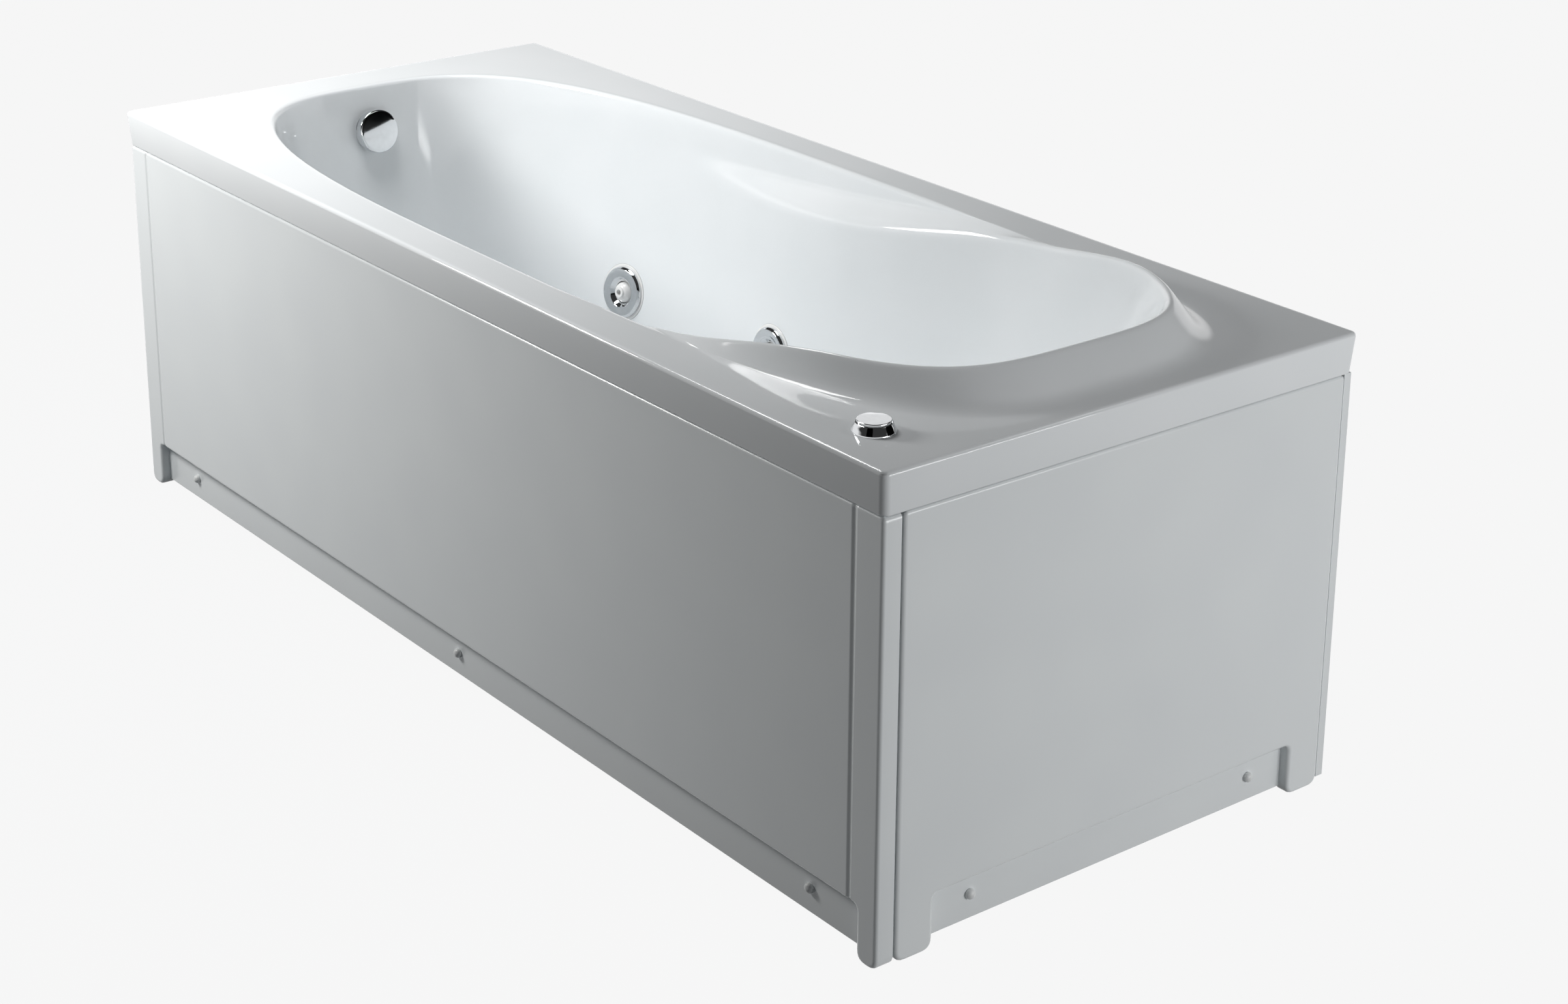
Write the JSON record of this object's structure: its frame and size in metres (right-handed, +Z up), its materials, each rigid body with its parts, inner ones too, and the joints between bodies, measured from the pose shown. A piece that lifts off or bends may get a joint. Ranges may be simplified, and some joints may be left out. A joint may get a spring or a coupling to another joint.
{
  "type": "jetted bathtub",
  "caption": "Alcove jetted bathtub with a stepped armrest rim, raised headrest, drain, overflow, hydrotherapy jets, pump and removable apron panels on a steel frame.",
  "frame": {"origin": "centre of the footprint on the floor", "axes": "+X towards the head end (backrest), +Y towards the wall side, away from the long apron panel, +Z up"},
  "size_m": [1.7, 0.7, 0.6065],
  "materials": {
    "acrylic": "gloss",
    "panel_acrylic": "gloss",
    "screw_cap": "gloss",
    "galvanised": "satin",
    "zinc": "satin",
    "rubber": "matte",
    "board": "matte",
    "chrome": "polished",
    "button_chrome": "polished",
    "nozzle": "gloss",
    "pvc": "satin",
    "vinyl": "satin",
    "cable": "matte",
    "pump_plastic": "satin",
    "motor": "cast",
    "rotor": "machined",
    "box_plastic": "satin"
  },
  "bodies": {
    "tub": {"air_pipes": "vinyl", "base_board": "board", "button_bellows": "pump_plastic", "button_bezel": "chrome", "button_hose": "vinyl", "button_nut": "pvc", "control_box": "box_plastic", "drain_body": "pvc", "drain_flange": "chrome", "end_panel": "panel_acrylic", "end_panel_screws": "screw_cap", "foot_nuts": "zinc", "foot_pads": "rubber", "foot_studs": "zinc", "frame_crossbars": "galvanised", "frame_end_bars": "galvanised", "frame_rail_back": "galvanised", "frame_rail_front": "galvanised", "frame_uprights_back": "galvanised", "frame_uprights_front": "galvanised", "front_panel": "panel_acrylic", "front_panel_screws": "screw_cap", "jet_bodies": "pvc", "jet_flanges": "nozzle", "overflow_body": "pvc", "overflow_pipe": "pvc", "overflow_rosette": "chrome", "panel_brackets": "galvanised", "panel_clips": "galvanised", "popup_cable": "cable", "pump_fan_cover": "pump_plastic", "pump_motor": "motor", "pump_pads": "rubber", "pump_shelf": "galvanised", "pump_volute": "pump_plastic", "rear_corner_post": "panel_acrylic", "suction_body": "pvc", "suction_grille": "chrome", "suction_pipe": "pvc", "tub_shell": "acrylic", "water_pipe_back": "pvc", "water_pipe_cross": "pvc", "water_pipe_front": "pvc"},
    "plug": {"drain_plug": "chrome"},
    "knob": {"overflow_knob": "chrome"},
    "button": {"button_cap": "button_chrome"},
    "rotor": {"pump_rotor": "rotor"},
    "jet_ring_1": {"jet_ring_1": "chrome"},
    "jet_nozzle_1": {"jet_nozzle_1": "nozzle"},
    "jet_ring_2": {"jet_ring_2": "chrome"},
    "jet_nozzle_2": {"jet_nozzle_2": "nozzle"},
    "jet_ring_3": {"jet_ring_3": "chrome"},
    "jet_nozzle_3": {"jet_nozzle_3": "nozzle"},
    "jet_ring_4": {"jet_ring_4": "chrome"},
    "jet_nozzle_4": {"jet_nozzle_4": "nozzle"}
  },
  "joints": [
    {"name": "overflow_knob_turn", "type": "hinge", "parent": "tub", "child": "knob", "pos_m": [-0.75724, 0, 0.503], "axis": [0.9823, 0, 0.1871], "range_deg": [0, 90]},
    {"name": "drain_plug_lift", "type": "slide", "parent": "tub", "child": "plug", "axis": [0, 0, 1], "range_m": [0, 0.01]},
    {"name": "button_press", "type": "slide", "parent": "tub", "child": "button", "axis": [0, 0, -1], "range_m": [0, 0.003], "stiffness_N_per_m": 800, "springref_m": -0.002},
    {"name": "pump_rotor_spin", "type": "hinge", "parent": "tub", "child": "rotor", "pos_m": [0.735, -0.1, 0.215], "axis": [0, 1, 0], "continuous": true},
    {"name": "jet_ring_1_turn", "type": "hinge", "parent": "tub", "child": "jet_ring_1", "pos_m": [-0.43, 0.22453, 0.293], "axis": [0.148, -0.9735, 0.1744], "range_deg": [-90, 90]},
    {"name": "jet_nozzle_1_tilt", "type": "hinge", "parent": "jet_ring_1", "child": "jet_nozzle_1", "pos_m": [-0.43059, 0.22842, 0.2923], "axis": [0.9886, 0.1503, 0], "range_deg": [-12, 12]},
    {"name": "jet_ring_2_turn", "type": "hinge", "parent": "tub", "child": "jet_ring_2", "pos_m": [-0.09, 0.23631, 0.293], "axis": [-0.0334, -0.9944, 0.1004], "range_deg": [-90, 90]},
    {"name": "jet_nozzle_2_tilt", "type": "hinge", "parent": "jet_ring_2", "child": "jet_nozzle_2", "pos_m": [-0.08987, 0.24029, 0.2926], "axis": [0.9994, -0.0335, 0], "range_deg": [-12, 12]},
    {"name": "jet_ring_3_turn", "type": "hinge", "parent": "tub", "child": "jet_ring_3", "pos_m": [-0.43, -0.22453, 0.293], "axis": [0.148, 0.9735, 0.1744], "range_deg": [-90, 90]},
    {"name": "jet_nozzle_3_tilt", "type": "hinge", "parent": "jet_ring_3", "child": "jet_nozzle_3", "pos_m": [-0.43059, -0.22842, 0.2923], "axis": [0.9886, -0.1503, 0], "range_deg": [-12, 12]},
    {"name": "jet_ring_4_turn", "type": "hinge", "parent": "tub", "child": "jet_ring_4", "pos_m": [-0.09, -0.23631, 0.293], "axis": [-0.0334, 0.9944, 0.1004], "range_deg": [-90, 90]},
    {"name": "jet_nozzle_4_tilt", "type": "hinge", "parent": "jet_ring_4", "child": "jet_nozzle_4", "pos_m": [-0.08987, -0.24029, 0.2926], "axis": [0.9994, 0.0335, 0], "range_deg": [-12, 12]}
  ],
  "couplings": [
    {"joint": "drain_plug_lift", "follows": "overflow_knob_turn", "m_per_rad": 0.0063662}
  ]
}
